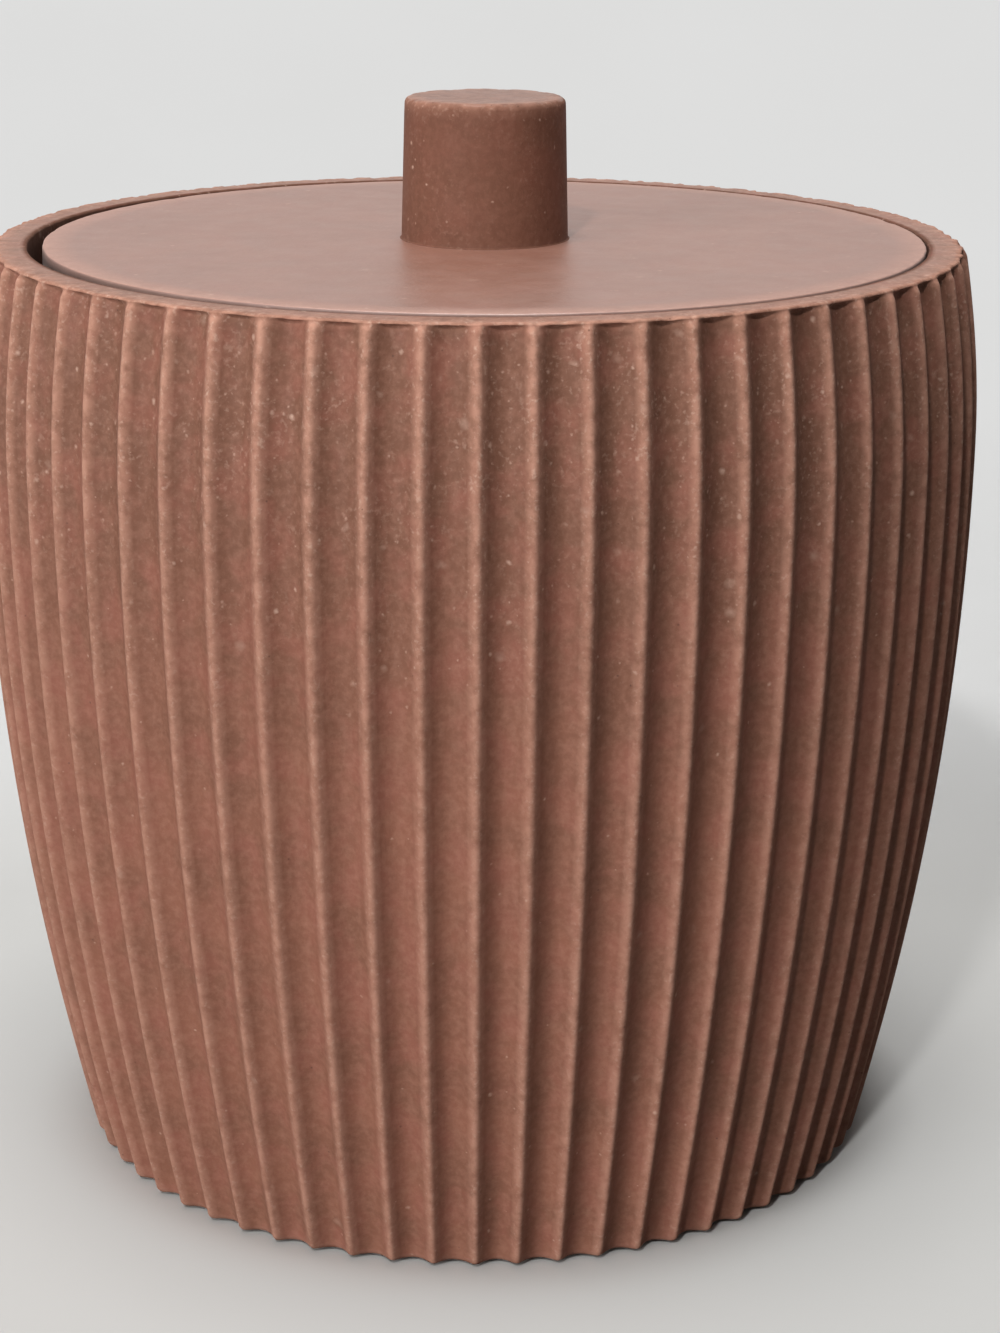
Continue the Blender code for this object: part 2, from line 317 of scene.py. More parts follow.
def turned_rings(profile, centre, columns, chipping, seed):
    """Rings of a turned shape and its stored marks; profile rows are (r, z, wear), where below nought is
    painted shade in the gap round the lid, and marked rows are chipped.
    """
    rings, wear_highlight_and_gap_shade = [], []
    for r, z, worn in profile:
        ring = []
        for i in range(columns):
            turn = 2 * math.pi * i / columns
            side = Vector((math.cos(turn), math.sin(turn), 0.0))
            coarse = noise.noise(side * max(r, 0.001) * COARSE_CHIPS + Vector((seed, z * COARSE_CHIPS, seed)))
            fine = noise.noise(side * max(r, 0.001) * FINE_CHIPS + Vector((0.0, seed, z * FINE_CHIPS)))
            bite = abs(worn) * chipping * max(0.6 * coarse + 0.4 * fine, -0.1)
            x = centre[0] + (r - bite) * side.x
            y = centre[1] + (r - bite) * side.y
            ring.append((x, y, z - 0.6 * max(bite, 0.0)))
            wear_highlight_and_gap_shade.append(worn)
        rings.append(ring)
    return rings, wear_highlight_and_gap_shade


class NodeBench:
    """A small helper that adds and joins the shader nodes of a material or a world."""

    def __init__(self, owner):
        owner.use_nodes = True
        self.owner = owner
        self.tree = owner.node_tree
        self.shader = self.tree.nodes.get('Principled BSDF')

    def add(self, kind, values=None, **settings):
        """Add a node, set its options, and fill or link its sockets."""
        node = self.tree.nodes.new(kind)
        for key, value in settings.items():
            setattr(node, key, value)
        for key, value in (values or {}).items():
            self.feed(node.inputs[key], value)
        return node

    def feed(self, socket, value):
        """Link an output to a socket, or set the socket's value."""
        if isinstance(value, bpy.types.NodeSocket):
            self.tree.links.new(value, socket)
        elif socket.type == 'RGBA':
            socket.default_value = (*value, 1.0)
        else:
            socket.default_value = value

    def place(self):
        """Position in the piece's own frame, in metres."""
        return self.add('ShaderNodeTexCoord').outputs['Object']

    def axis(self, name):
        """One coordinate of the position: X, Y or Z."""
        return self.add('ShaderNodeSeparateXYZ', {'Vector': self.place()}).outputs[name]

    def grain(self, scale, detail=3.0, rough=0.55):
        """Soft noise between nought and one."""
        values = {'Vector': self.place(), 'Scale': scale, 'Detail': detail, 'Roughness': rough}
        return self.add('ShaderNodeTexNoise', values).outputs['Fac']

    def span(self, value, low, high, to_low=0.0, to_high=1.0):
        """Stretch a range of a value onto another range."""
        values = {'Value': value, 'From Min': low, 'From Max': high, 'To Min': to_low, 'To Max': to_high}
        return self.add('ShaderNodeMapRange', values).outputs['Result']

    def math(self, operation, first, second):
        """A sum, product or other operation on two values."""
        return self.add('ShaderNodeMath', {0: first, 1: second}, operation=operation).outputs[0]

    def times(self, first, second):
        """Product of two values."""
        return self.math('MULTIPLY', first, second)

    def plus(self, first, second):
        """Sum of two values."""
        return self.math('ADD', first, second)

    def mix(self, factor, first, second):
        """Blend of two colours."""
        node = self.tree.nodes.new('ShaderNodeMix')
        node.data_type = 'RGBA'
        self.feed(node.inputs[0], factor)
        self.feed(node.inputs[6], first)
        self.feed(node.inputs[7], second)
        return node.outputs[2]

    def flecks(self, cells, radius, kept):
        """Scattered round specks with ragged soft edges; kept is the share of the cells that have one."""
        values = {'Vector': self.place(), 'Scale': 3.0 * cells, 'Detail': 2.0}
        jitter = self.add('ShaderNodeTexNoise', values).outputs['Color']
        swing = self.add('ShaderNodeVectorMath', {0: jitter, 1: (1.2 * radius,) * 3}, operation='MULTIPLY')
        ragged = self.add('ShaderNodeVectorMath', {0: self.place(), 1: swing.outputs[0]}, operation='ADD')
        values = {'Vector': ragged.outputs[0], 'Scale': cells, 'Randomness': 1.0}
        pattern = self.add('ShaderNodeTexVoronoi', values)
        pick = self.add('ShaderNodeSeparateColor', {'Color': pattern.outputs['Color']})
        size = self.span(pick.outputs[1], 0.0, 1.0, 0.5 * radius * cells, radius * cells)
        dot = self.span(self.math('DIVIDE', pattern.outputs['Distance'], size), 1.0, 0.15)
        chosen = self.math('GREATER_THAN', self.plus(pick.outputs[0], kept), 1.0)
        return self.times(dot, chosen)

    def seen(self):
        """One where a surface is looked at, also in a reflection, and nought where it only lights others."""
        rays = self.add('ShaderNodeLightPath').outputs
        mirrored = self.math('MAXIMUM', rays['Is Glossy Ray'], rays['Is Transmission Ray'])
        return self.math('MAXIMUM', rays['Is Camera Ray'], mirrored)

    def stored(self, name):
        """A value stored on the mesh's points."""
        return self.add('ShaderNodeAttribute', attribute_name=name).outputs['Fac']

    def bump(self, height, strength, distance):
        """Fine relief."""
        values = {'Height': height, 'Strength': strength, 'Distance': distance}
        self.feed(self.shader.inputs['Normal'], self.add('ShaderNodeBump', values).outputs['Normal'])


def drifting_clay(bench, colours, main, look):
    """The main colour with drifts of dark and of red clay, painted shade over the upper part, and a fine pale
    grain.
    """
    drift = bench.span(bench.grain(150.0, detail=4.0), 0.38, 0.62, 0.0, look.drifting)
    tone = bench.mix(drift, main, colours.clay_dark)
    # Painted shade: the upper part of the piece is mixed towards dark clay, to even out the lamps' brighter
    # light up there.
    painted_top_shade = bench.span(bench.axis('Z'), 0.50 * LID_HIGH[2], 0.85 * LID_HIGH[2], 0.0, look.top_shade_and_ridge_highlight)
    tone = bench.mix(painted_top_shade, tone, colours.clay_dark)
    ruddy = bench.span(bench.grain(230.0), 0.45, 0.65, 0.0, look.drifting)
    tone = bench.mix(ruddy, tone, colours.clay_red)
    fine = bench.span(bench.grain(1300.0, rough=0.65), 0.40, 0.75, 0.0, 0.05 + 0.3 * look.drifting)
    return bench.mix(fine, tone, colours.pale_clay_wear_and_highlight)


def clay_with_wear_highlight_and_gap_shade(bench, colours, tone):
    """Pale where the piece is rubbed, and as painted highlight on crests and the rim's top; dark as painted
    shade in the gap round the lid.
    """
    rub_and_highlight = bench.span(bench.grain(700.0, detail=5.0, rough=0.65), 0.35, 0.60, 0.35, 1.0)
    # Pale: rubbed places, and painted highlight on the ridge crests and the rim's flat top.
    tone = bench.mix(bench.times(bench.stored("wear_highlight_and_gap_shade"), rub_and_highlight), tone, colours.pale_clay_wear_and_highlight)
    # Painted shade: below nought the stored mark mixes towards the dark gap colour.
    return bench.mix(bench.times(bench.stored("wear_highlight_and_gap_shade"), -1.0), tone, colours.gap_shade_clay)


def clay_finish(name, colours, main, look):
    """Cast clay-coloured stone: drifts of tone, flecks denser upwards, paler worn edges and fine grain, with
    painted highlights on crests and rim, and painted shade in the gap round the lid and over the upper part.
    """
    bench = NodeBench(bpy.data.materials.new(name))
    tone = clay_with_wear_highlight_and_gap_shade(bench, colours, drifting_clay(bench, colours, main, look))
    gathered = bench.span(bench.grain(160.0, detail=2.0), 0.40, 0.62, 0.3, 1.0)
    kept = bench.times(bench.span(bench.axis('Z'), 0.60 * LID_HIGH[2], LID_HIGH[2], *look.flecks), gathered)
    for cells, radius, strength in PALE_FLECKS:
        tone = bench.mix(bench.times(bench.flecks(cells, radius, kept), strength), tone, colours.fleck)
    crumbs = bench.span(bench.grain(2300.0, detail=2.0, rough=0.5), 0.56, 0.74)
    crumbly = bench.plus(bench.times(bench.stored("wear_highlight_and_gap_shade"), 0.35), bench.times(kept, 0.45))
    tone = bench.mix(bench.times(crumbs, crumbly), tone, colours.fleck)
    cells, radius, strength = DARK_FLECKS
    specks = bench.times(bench.flecks(cells, radius, DARK_FLECKS_KEPT), strength)
    bench.feed(bench.shader.inputs['Base Color'], bench.mix(specks, tone, colours.fleck_dark))
    dull = bench.span(bench.grain(320.0, detail=4.0), 0.3, 0.7, *look.rough)
    # The gap round the lid, painted as shade, is made rougher too.
    gap_shade_roughening = bench.times(bench.stored("wear_highlight_and_gap_shade"), -1.5)
    scuffed = bench.times(bench.math('MAXIMUM', bench.stored("wear_highlight_and_gap_shade"), gap_shade_roughening), 0.45)
    polished = bench.span(bench.stored("polish"), 0.0, 1.0, 1.0, 0.38)
    bench.feed(bench.shader.inputs['Roughness'], bench.times(bench.plus(dull, scuffed), polished))
    bench.shader.inputs['IOR'].default_value = look.glance
    crumb_relief = bench.times(crumbs, bench.times(crumbly, 0.8))
    relief = bench.plus(bench.grain(1400.0, detail=4.0, rough=0.6), crumb_relief)
    bench.bump(relief, strength=0.40, distance=0.00012)
    return bench.owner


def silicone_finish(name, tint, dusty):
    """Moulded silicone with a dusty bloom."""
    bench = NodeBench(bpy.data.materials.new(name))
    bloom = bench.span(bench.grain(300.0, detail=4.0), 0.35, 0.7)
    bench.feed(bench.shader.inputs['Base Color'], bench.mix(bloom, tint, dusty))
    bench.feed(bench.shader.inputs['Roughness'], bench.span(bloom, 0.0, 1.0, 0.5, 0.68))
    bench.bump(bench.grain(2500.0), strength=0.15, distance=0.00005)
    return bench.owner


def metal_finish(name, tint, scale):
    """Turned metal with fine marks round its axis."""
    bench = NodeBench(bpy.data.materials.new(name))
    values = {'Vector': bench.place(), 'Scale': scale, 'Distortion': 2.5, 'Detail': 3.0}
    marks = bench.add('ShaderNodeTexWave', values, bands_direction='Z').outputs['Fac']
    dull = tuple(0.78 * value for value in tint)
    bench.feed(bench.shader.inputs['Base Color'], bench.mix(marks, dull, tint))
    bench.shader.inputs['Metallic'].default_value = 1.0
    bench.feed(bench.shader.inputs['Roughness'], bench.span(marks, 0.0, 1.0, 0.26, 0.42))
    bench.bump(marks, strength=0.08, distance=0.00004)
    return bench.owner


def flute_section(sizes, hollow_steps, ridge_steps):
    """One rounded ridge and the hollow after it as (share of pitch, depth share, wear).

    The ridge and the hollow are two parabolas that meet with one slope at the edge of the ridge.
    """
    half = sizes.ridge_share / 2
    places = [half * i / ridge_steps for i in range(-ridge_steps, ridge_steps + 1)]
    places += spaced(half, 1 - half, hollow_steps)
    section = []
    for across in places:
        away = min(abs(across), 1 - abs(across))
        if away < half:
            depth = 2 * half * (away / half) ** 2
        else:
            depth = 1 - (1 - 2 * half) * ((0.5 - away) / (0.5 - half)) ** 2
        section.append((across, depth, max(0.0, 1 - (away / (1.6 * half)) ** 2)))
    return section


def outside_rows(outline):
    """From under the base up the fluted outside to the round of the rim.

    The ridges end softly at the base. Towards the rim their crests are worn down, so the radius follows them,
    and a lip closes part of the hollows.
    """
    s = outline.sizes
    edge_centre = (outline.barrel(outline.edge_z) - s.base_round, outline.edge_z)
    edge = arc(edge_centre, s.base_round, -BASE_TURN_IN, 0, BASE_STEPS)
    rows = [WallRow(edge[0][0] - s.small_round, outline.base_z, fluted=0.82, wear_highlight_and_gap_shade=0.3)]
    for i, (r, z) in enumerate(edge):
        soft = 0.03 * (BASE_STEPS - i)
        chipped = 0.4 if i < 2 else 0.0
        rows.append(WallRow(r - 0.6 * soft * s.flute_depth, z, 1.0 - soft, 0.5 - 0.08 * i, chipped))
    for z in spaced(outline.edge_z, outline.round_z - s.crest_wear, BARREL_STEPS):
        rows.append(WallRow(outline.barrel(z), z, fluted=1.0))
    for i in range(CREST_STEPS + 1):
        worn = s.crest_drop * (i / CREST_STEPS) ** 2
        lip = s.lip_fill * max(0.0, 2 * i / CREST_STEPS - 1) ** 2
        z = outline.round_z - s.crest_wear * (1 - i / CREST_STEPS)
        r = outline.barrel(z) - worn * s.flute_depth
        rows.append(WallRow(r, z, 1.0 - worn - lip, wear_highlight_and_gap_shade=0.04 * i, chipped=0.09 * i))
    return rows


def rim_rows(outline, crown):
    """Over the rim, from the last outside row to the edge of the seat; the flutes fade across its face."""
    s = outline.sizes
    rows = []
    for i, (r, z) in enumerate(arc((crown.r - s.rim_round, outline.round_z), s.rim_round, 0, 90, 5)[1:]):
        rows.append(WallRow(r, z, crown.fluted, 0.75 + 0.05 * i, 0.8 + 0.05 * i, 0.12 * i))
    inner = s.seat_radius + s.rim_round
    for i, r in enumerate(spaced(rows[-1].r, inner, 6)):
        fade = max(0.0, 1 - (i + 1) / 4)
        fluted = 0.9 * crown.fluted * fade
        # The rim's flat top is painted pale, partly rubbed and partly a painted highlight of the lit top.
        rows.append(WallRow(r, outline.rim_z, fluted, 0.48 + 0.35 * fade, 0.4 * fade, polish=0.85))
    # Painted shade: the rim's inner edge is painted dark, as shade in the gap round the lid.
    for r, z in arc((inner, outline.round_z), s.rim_round, 90, 180, 4):
        rows.append(WallRow(r, z, wear_highlight_and_gap_shade=-0.5, chipped=0.3))
    return rows


def inside_rows(outline):
    """Down the seat, over the ledge and down the bore to the floor."""
    s = outline.sizes
    # Painted shade: the seat wall is painted dark, as shade in the gap round the lid.
    rows = [WallRow(s.seat_radius, z, wear_highlight_and_gap_shade=-0.6) for z in spaced(outline.round_z, outline.ledge_z, 4)]
    rows.append(WallRow(s.seat_radius, outline.ledge_z))
    lip_z = outline.ledge_z - s.rim_round
    for r, z in arc((outline.bore(outline.ledge_z) + s.rim_round, lip_z), s.rim_round, 90, 180, 3):
        rows.append(WallRow(r, z, wear_highlight_and_gap_shade=0.5, chipped=0.2))
    low = outline.base_z + s.floor + s.floor_round
    rows += [WallRow(outline.bore(z), z) for z in spaced(lip_z, low, 12)]
    corner = (outline.bore(low) - s.floor_round, low)
    rows += [WallRow(r, z) for r, z in arc(corner, s.floor_round, 0, -90, 6)]
    return rows


def ridge_wear_and_highlight(z):
    """How far the ridges are painted pale, partly rubbed and partly a painted highlight of the crests, with
    more of it over the upper two fifths of the body.
    """
    return 0.72 + 0.26 * max(0.0, 2.5 * z / BODY_HIGH[2] - 1.5)


def rim_bite(side, z, chipping):
    """How far the body's cast edge is chipped back at a place."""
    coarse = noise.noise(side * 24.0 + Vector((0.0, 0.0, 3.0)))
    fine = noise.noise(side * 80.0 + Vector((0.0, 0.0, z * 900.0)))
    return chipping * max(0.7 * coarse + 0.9 * fine, -0.15)


class JAR_OT_body(bpy.types.Operator):
    """Build the fluted body with its worn, slightly uneven rim"""
    bl_idname = "jar.body"
    bl_label = "Fluted Body"

    def execute(self, context):
        sizes = context.scene.jar_sizes
        outline = Outline(sizes)
        rows = outside_rows(outline)
        rows += rim_rows(outline, rows[-1]) + inside_rows(outline)
        section = flute_section(sizes, hollow_steps=9, ridge_steps=3)
        chance = random.Random(FLUTE_SEED)
        depths = [sizes.flute_depth * chance.uniform(*DEPTH_RANGE) for _ in range(sizes.flute_count)]
        sway = [chance.uniform(-SWAY, SWAY) for _ in range(sizes.flute_count)]
        rings, wear_highlight_and_gap_shade, polish = [], [], []
        for row in rows:
            top_shade_and_ridge_highlight = ridge_wear_and_highlight(row.z)
            ring = []
            for flute in range(sizes.flute_count):
                for across, depth, rub_and_highlight in section:
                    shifted = flute + across + sway[flute] * (1 - abs(2 * across - 1))
                    turn = 2 * math.pi * shifted / sizes.flute_count
                    side = Vector((math.cos(turn), math.sin(turn), 0.0))
                    bite = row.chipped * rim_bite(side, row.z, sizes.chipping)
                    radius = row.r - row.fluted * depths[flute] * depth - bite
                    ring.append((radius * side.x, radius * side.y, row.z - 0.7 * max(bite, 0.0)))
                    # Ridges painted pale: partly rubbed, partly a painted highlight of the crests.
                    worn = min(1.0, row.wear_highlight_and_gap_shade + rub_and_highlight * row.fluted * top_shade_and_ridge_highlight)
                    wear_highlight_and_gap_shade.append(worn if row.wear_highlight_and_gap_shade >= 0 else row.wear_highlight_and_gap_shade)
                    polish.append(row.polish)
            rings.append(ring)
        mesh = ring_mesh("fluted_body", rings, {"wear_highlight_and_gap_shade": wear_highlight_and_gap_shade, "polish": polish})
        colours = context.scene.jar_colours
        finish = clay_finish("cast_clay_body", colours, colours.clay, BODY_LOOK)
        add_piece("fluted_body", mesh, "jar", ["jar_body"], finish)
        return {'FINISHED'}


class JAR_OT_lid(bpy.types.Operator):
    """Build the flat lid with its worn edge, spigot and screw recess"""
    bl_idname = "jar.lid"
    bl_label = "Lid"

    def execute(self, context):
        s = context.scene.jar_sizes
        rows = list(reversed(self.upper_profile(s) + self.lower_profile(s)))
        centre = (LID_CENTRE, -s.lid_settle)
        rings, wear_highlight_and_gap_shade = turned_rings(rows, centre, columns=240, chipping=s.chipping, seed=5.0)
        mesh = ring_mesh("drop_in_lid", rings, {"wear_highlight_and_gap_shade": wear_highlight_and_gap_shade, "polish": [0.0] * len(wear_highlight_and_gap_shade)})
        colours = context.scene.jar_colours
        finish = clay_finish("cast_clay_lid", colours, colours.lid_clay_with_painted_light, LID_LOOK)
        add_piece("drop_in_lid", mesh, "lid", ["lid_disc"], finish)
        return {'FINISHED'}

    def upper_profile(self, s):
        """The flat top, its worn edge and the side of the flange, painted dark and rough as shade in the gap
        round the lid.
        """
        top, soft = LID_HIGH[2], s.small_round
        outer = (LID_HIGH[0] - LID_LOW[0]) / 2
        flange_z = top - s.flange
        profile = [(r, top, 0.0) for r in (AXIS_RING, 0.010, 0.020, 0.030, 0.038, 0.042)]
        # Below nought: painted shade on the lower part of the edge and on the side, in the gap round the lid.
        for i, (r, z) in enumerate(arc((outer - s.lid_edge, top - s.lid_edge), s.lid_edge, 90, 0, 5)):
            profile.append((r, z, 0.5 if i < 3 else -0.5))
        profile += [(outer, z, -0.7) for z in spaced(top - s.lid_edge, flange_z + soft, 5)]
        profile += [(r, z, 0.4) for r, z in arc((outer - soft, flange_z + soft), soft, 0, -90, 3)]
        return profile

    def lower_profile(self, s):
        """The underside: the spigot, its worn edge and the recess for the screw's head."""
        low, soft, edge = LID_LOW[2], s.small_round, s.lid_edge
        flange_z = LID_HIGH[2] - s.flange
        recess = (WASHER_HIGH[0] - WASHER_LOW[0]) / 2 + s.clearance
        recess_z = WASHER_HIGH[2] + s.clearance
        profile = [(s.spigot_radius + soft, flange_z, 0.0), (s.spigot_radius, flange_z - soft, 0.0)]
        profile += [(r, z, 0.4) for r, z in arc((s.spigot_radius - edge, low + edge), edge, 0, -90, 4)]
        profile += [(r, low, 0.0) for r in (0.036, 0.026, 0.014)]
        profile += [(r, z, 0.3) for r, z in arc((recess + soft, low + soft), soft, -90, -180, 3)]
        profile += [(recess, recess_z, 0.0), (AXIS_RING, recess_z, 0.0)]
        return profile


class JAR_OT_knob(bpy.types.Operator):
    """Build the short round knob with its worn top edge"""
    bl_idname = "jar.knob"
    bl_label = "Knob"

    def execute(self, context):
        s = context.scene.jar_sizes
        top = KNOB_HIGH[2]
        foot = (KNOB_HIGH[0] - KNOB_LOW[0]) / 2
        low, high = LID_HIGH[2] + s.knob_foot, top - s.knob_edge
        profile = [(r, z, 0.0) for r, z in arc((foot + s.knob_foot, low), s.knob_foot, -100, -180, 5)]
        for z in spaced(low, high, 14):
            profile.append((foot + (s.knob_top - foot) * (z - low) / (high - low), z, 0.0))
        for i, (r, z) in enumerate(arc((s.knob_top - s.knob_edge, high), s.knob_edge, 0, 90, 6)):
            profile.append((r, z, 0.20 + 0.09 * i))
        profile += [(r, top, 0.45) for r in (0.006, 0.003, AXIS_RING)]
        centre = (LID_CENTRE, -s.lid_settle)
        rings, wear_highlight_and_gap_shade = turned_rings(profile, centre, columns=128, chipping=1.2 * s.chipping, seed=9.0)
        smooth_z = top - 0.3 * s.knob_edge
        polish = [1.0 if point[2] > smooth_z else 0.0 for ring in rings for point in ring]
        mesh = ring_mesh("round_knob", rings, {"wear_highlight_and_gap_shade": wear_highlight_and_gap_shade, "polish": polish})
        colours = context.scene.jar_colours
        finish = clay_finish("cast_clay_knob", colours, colours.knob_clay_with_painted_shade, KNOB_LOOK)
        add_piece("round_knob", mesh, "lid", ["lid_knob"], finish)
        return {'FINISHED'}


class JAR_OT_soft(bpy.types.Operator):
    """Build the seal ring under the lid and the grip pads under the base"""
    bl_idname = "jar.soft"
    bl_label = "Seal and Foot Pads"

    def execute(self, context):
        sizes, colours = context.scene.jar_sizes, context.scene.jar_colours
        dusty = tuple(min(1.0, 1.5 * value + 0.02) for value in colours.pad)
        pad_finish = silicone_finish("pad_silicone", tuple(colours.pad), dusty)
        for node in PAD_NODES:
            self.add_pad(node, sizes.small_round, pad_finish)
        yellowed = tuple(0.82 * value for value in colours.silicone)
        self.add_seal(sizes, silicone_finish("seal_silicone", tuple(colours.silicone), yellowed))
        return {'FINISHED'}

    def add_pad(self, node, soft, finish):
        """One pad with soft moulded edges."""
        low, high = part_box(node)
        radius = (high[0] - low[0]) / 2
        hub = 0.0004
        profile = [(hub, low[2], 0.0), (radius * 0.6, low[2], 0.0)]
        profile += [(r, z, 0.0) for r, z in arc((radius - soft, low[2] + soft), soft, -90, 0, 4)]
        profile += [(r, z, 0.0) for r, z in arc((radius - soft, high[2] - soft), soft, 0, 90, 4)]
        profile.append((hub, high[2], 0.0))
        middle = ((low[0] + high[0]) / 2, (low[1] + high[1]) / 2)
        rings, wear_highlight_and_gap_shade = turned_rings(profile, middle, columns=48, chipping=0.0, seed=1.0)
        mesh = ring_mesh(node + "_moulded", rings, {"wear_highlight_and_gap_shade": wear_highlight_and_gap_shade})
        add_piece(node + "_moulded", mesh, "jar", [node], finish)

    def add_seal(self, sizes, finish):
        """A flat ring with rounded edges, as a tube bent round the spigot."""
        outer = (RING_HIGH[0] - RING_LOW[0]) / 2
        inner = sizes.spigot_radius + sizes.clearance
        low, high = RING_LOW[2], RING_HIGH[2]
        soft = (high - low) / 3
        loop = arc((outer - soft, low + soft), soft, -90, 0, 4)
        loop += arc((outer - soft, high - soft), soft, 0, 90, 4)
        loop += arc((inner + soft, high - soft), soft, 90, 180, 4)
        loop += arc((inner + soft, low + soft), soft, 180, 270, 4)
        columns, count = 180, len(loop)
        points, faces = [], []
        for i in range(columns):
            turn = 2 * math.pi * i / columns
            points += [(LID_CENTRE + r * math.cos(turn), r * math.sin(turn), z) for r, z in loop]
            ahead = (i + 1) % columns
            for j in range(count):
                k = (j + 1) % count
                faces.append((i * count + j, ahead * count + j, ahead * count + k, i * count + k))
        mesh = bpy.data.meshes.new("seal_ring")
        mesh.from_pydata(points, [], faces)
        mesh.shade_smooth()
        add_piece("seal_ring", mesh, "lid", ["lid_seal_ring"], finish)


class JAR_OT_fastening(bpy.types.Operator):
    """Finish the screw, washer and threaded insert that hold the knob"""
    bl_idname = "jar.fastening"
    bl_label = "Knob Fastening"

    def execute(self, context):
        colours = context.scene.jar_colours
        steel = metal_finish("turned_steel", tuple(colours.steel), scale=900.0)
        brass = metal_finish("turned_brass", tuple(colours.brass), scale=1100.0)
        finishes = {"knob_screw": steel, "knob_washer": steel, "knob_threaded_insert": brass}
        for node, finish in finishes.items():
            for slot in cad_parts[node].material_slots:
                slot.material = finish
        return {'FINISHED'}


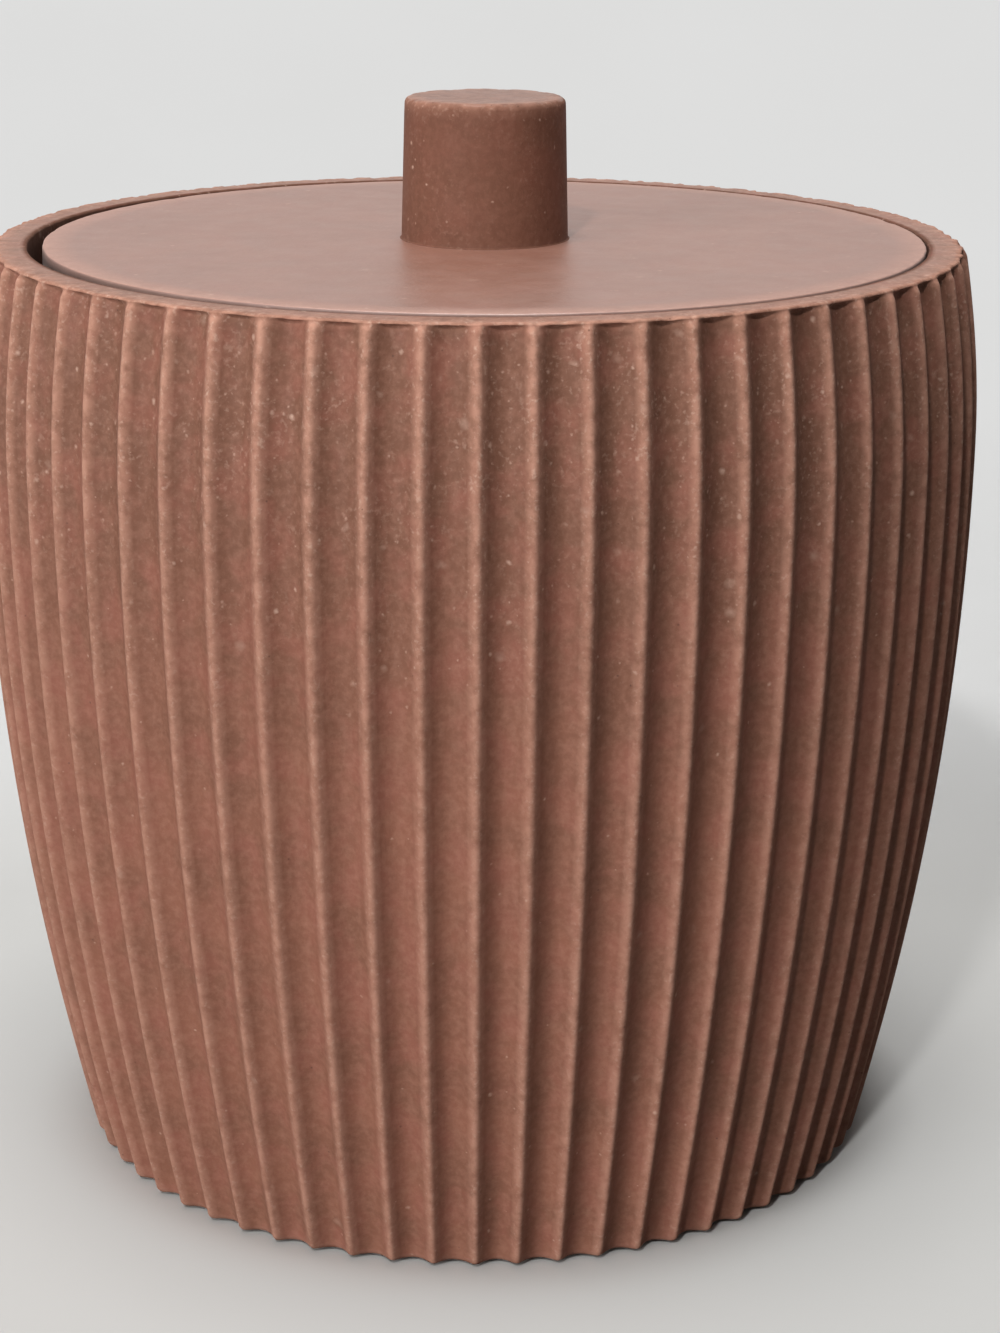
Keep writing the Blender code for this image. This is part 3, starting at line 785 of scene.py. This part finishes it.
class JAR_OT_stage(bpy.types.Operator):
    """Set up the pale table and wall, the soft light and the camera"""
    bl_idname = "jar.stage"
    bl_label = "Stage"

    def execute(self, context):
        stage, colours = context.scene.jar_stage, context.scene.jar_colours
        self.add_sweep(colours)
        self.add_lamp("front_lamp", FRONT_LAMP, stage.lamp)
        self.add_lamp("side_window", SIDE_WINDOW, stage.window)
        self.add_lamp("ceiling_bounce", CEILING_BOUNCE, stage.ceiling)
        self.add_surroundings(stage.surroundings, colours.backdrop[0])
        self.add_camera(stage)
        context.scene.view_settings.view_transform = 'Standard'
        return {'FINISHED'}

    def add_sweep(self, colours):
        """A table that curves up into a wall behind the jar."""
        line = [(-SWEEP_HALF, 0.0), (0.0, 0.0), (SWEEP_BACK, 0.0)]
        line += [(SWEEP_BACK + r, SWEEP_BEND + z) for r, z in arc((0.0, 0.0), SWEEP_BEND, -90, 0, 16)[1:]]
        line.append((SWEEP_BACK + SWEEP_BEND, SWEEP_TOP))
        points = [(x, y, z) for y, z in line for x in (-SWEEP_HALF, SWEEP_HALF)]
        faces = [(2 * i, 2 * i + 1, 2 * i + 3, 2 * i + 2) for i in range(len(line) - 1)]
        mesh = bpy.data.meshes.new("pale_sweep")
        mesh.from_pydata(points, [], faces)
        mesh.shade_smooth()
        mesh.materials.append(self.sweep_finish(colours))
        sweep = bpy.data.objects.new("pale_sweep", mesh)
        bpy.context.scene.collection.objects.link(sweep)

    def sweep_finish(self, colours):
        """Pale matt surface, lighter towards the wall.

        Looked at, it partly glows, so that shadows stay soft next to the jar and fade out far from it.
        As a source of light for the jar, the table is dim and the wall pale.
        """
        bench = NodeBench(bpy.data.materials.new("pale_table"))
        deep = bench.span(bench.axis('Y'), 0.06, 0.15)
        tone = bench.mix(deep, colours.table, colours.backdrop)
        cloudy = bench.span(bench.grain(14.0, detail=4.0), 0.3, 0.7, 0.0, 0.05)
        tone = bench.mix(cloudy, tone, colours.table_cloud)
        seen = bench.seen()
        behind = bench.span(bench.axis('Y'), 0.20, 0.45, 0.0, 0.75)
        thrown = bench.mix(behind, colours.bounce, colours.backdrop)
        bench.feed(bench.shader.inputs['Base Color'], bench.mix(seen, thrown, tone))
        bench.shader.inputs['Roughness'].default_value = 0.8
        reach = bench.add('ShaderNodeVectorMath', {0: bench.place()}, operation='LENGTH').outputs['Value']
        beside, clear, far = [bench.span(reach, start, end, 0.0, part)
                              for start, end, part in (GLOW_BESIDE, GLOW_CLEAR, GLOW_FAR)]
        even = bench.plus(bench.math('SUBTRACT', beside, clear), far)
        glow = bench.add('ShaderNodeEmission', {'Color': tone, 'Strength': 1.0})
        blend = bench.add('ShaderNodeMixShader', {0: bench.times(even, seen)})
        bench.tree.links.new(bench.shader.outputs['BSDF'], blend.inputs[1])
        bench.tree.links.new(glow.outputs['Emission'], blend.inputs[2])
        bench.tree.links.new(blend.outputs['Shader'], bench.tree.nodes['Material Output'].inputs['Surface'])
        return bench.owner

    def add_lamp(self, name, place, watts):
        """A square soft lamp that faces the middle of the jar."""
        across, height = math.radians(place.across), math.radians(place.height)
        level = math.cos(height)
        outward = Vector((-math.cos(across) * level, -math.sin(across) * level, math.sin(height)))
        lamp = bpy.data.lights.new(name, 'AREA')
        lamp.size = place.size
        lamp.energy = watts
        item = bpy.data.objects.new(name, lamp)
        item.location = Vector((0.0, 0.0, BODY_HIGH[2] / 2)) + outward * place.distance
        item.rotation_euler = (-outward).to_track_quat('-Z', 'Y').to_euler()
        bpy.context.scene.collection.objects.link(item)

    def add_surroundings(self, strength, pale):
        """Even light from all around, seen as a pale room beyond the sweep."""
        world = bpy.data.worlds.new("even_light")
        bench = NodeBench(world)
        ground = bench.tree.nodes['Background']
        ground.inputs['Color'].default_value = (1.0, 1.0, 1.0, 1.0)
        bench.feed(ground.inputs['Strength'], bench.span(bench.seen(), 0.0, 1.0, strength, pale))
        bpy.context.scene.world = world

    def add_camera(self, stage):
        """A camera at the photograph's viewing angle."""
        level, drop = math.cos(stage.tilt), math.sin(stage.tilt)
        ahead = Vector((math.sin(stage.turn) * level, math.cos(stage.turn) * level, -drop))
        sideways = Vector((math.cos(stage.turn), -math.sin(stage.turn), 0.0))
        upright = sideways.cross(ahead)
        right = sideways * math.cos(stage.roll) + upright * math.sin(stage.roll)
        up = upright * math.cos(stage.roll) - sideways * math.sin(stage.roll)
        data = bpy.data.cameras.new("camera")
        data.lens = stage.lens
        data.sensor_width = 36.0
        data.clip_start = 0.01
        camera = bpy.data.objects.new("camera", data)
        turned = Matrix((right, up, -ahead)).transposed().to_4x4()
        camera.matrix_world = Matrix.Translation((0.0, -stage.eye_back, stage.eye_up)) @ turned
        bpy.context.scene.collection.objects.link(camera)
        bpy.context.scene.camera = camera


class JAR_PT_panel(bpy.types.Panel):
    """Sidebar panel that lists the jar's pieces"""
    bl_idname = "JAR_PT_panel"
    bl_label = "Fluted Jar"
    bl_space_type = 'VIEW_3D'
    bl_region_type = 'UI'
    bl_category = "Jar"

    def draw(self, context):
        for operator in OPERATORS:
            self.layout.operator(operator.bl_idname)
        for group in (context.scene.jar_sizes, context.scene.jar_colours, context.scene.jar_stage):
            box = self.layout.box()
            for key in group.__annotations__:
                box.prop(group, key)


GROUPS = (JarSizes, JarColours, JarStage)
OPERATORS = (JAR_OT_body, JAR_OT_lid, JAR_OT_knob, JAR_OT_soft, JAR_OT_fastening, JAR_OT_stage)


def register():
    """Register the classes and hang the settings on the scene."""
    for item in (*GROUPS, *OPERATORS, JAR_PT_panel):
        bpy.utils.register_class(item)
    bpy.types.Scene.jar_sizes = bpy.props.PointerProperty(type=JarSizes)
    bpy.types.Scene.jar_colours = bpy.props.PointerProperty(type=JarColours)
    bpy.types.Scene.jar_stage = bpy.props.PointerProperty(type=JarStage)


def unregister():
    """Take the settings and the classes away again."""
    del bpy.types.Scene.jar_stage
    del bpy.types.Scene.jar_colours
    del bpy.types.Scene.jar_sizes
    for item in reversed((*GROUPS, *OPERATORS, JAR_PT_panel)):
        bpy.utils.unregister_class(item)


def main():
    """Build every piece and the stage."""
    register()
    bpy.ops.jar.body()
    bpy.ops.jar.lid()
    bpy.ops.jar.knob()
    bpy.ops.jar.soft()
    bpy.ops.jar.fastening()
    bpy.ops.jar.stage()
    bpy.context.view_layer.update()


if __name__ == "__main__":
    main()
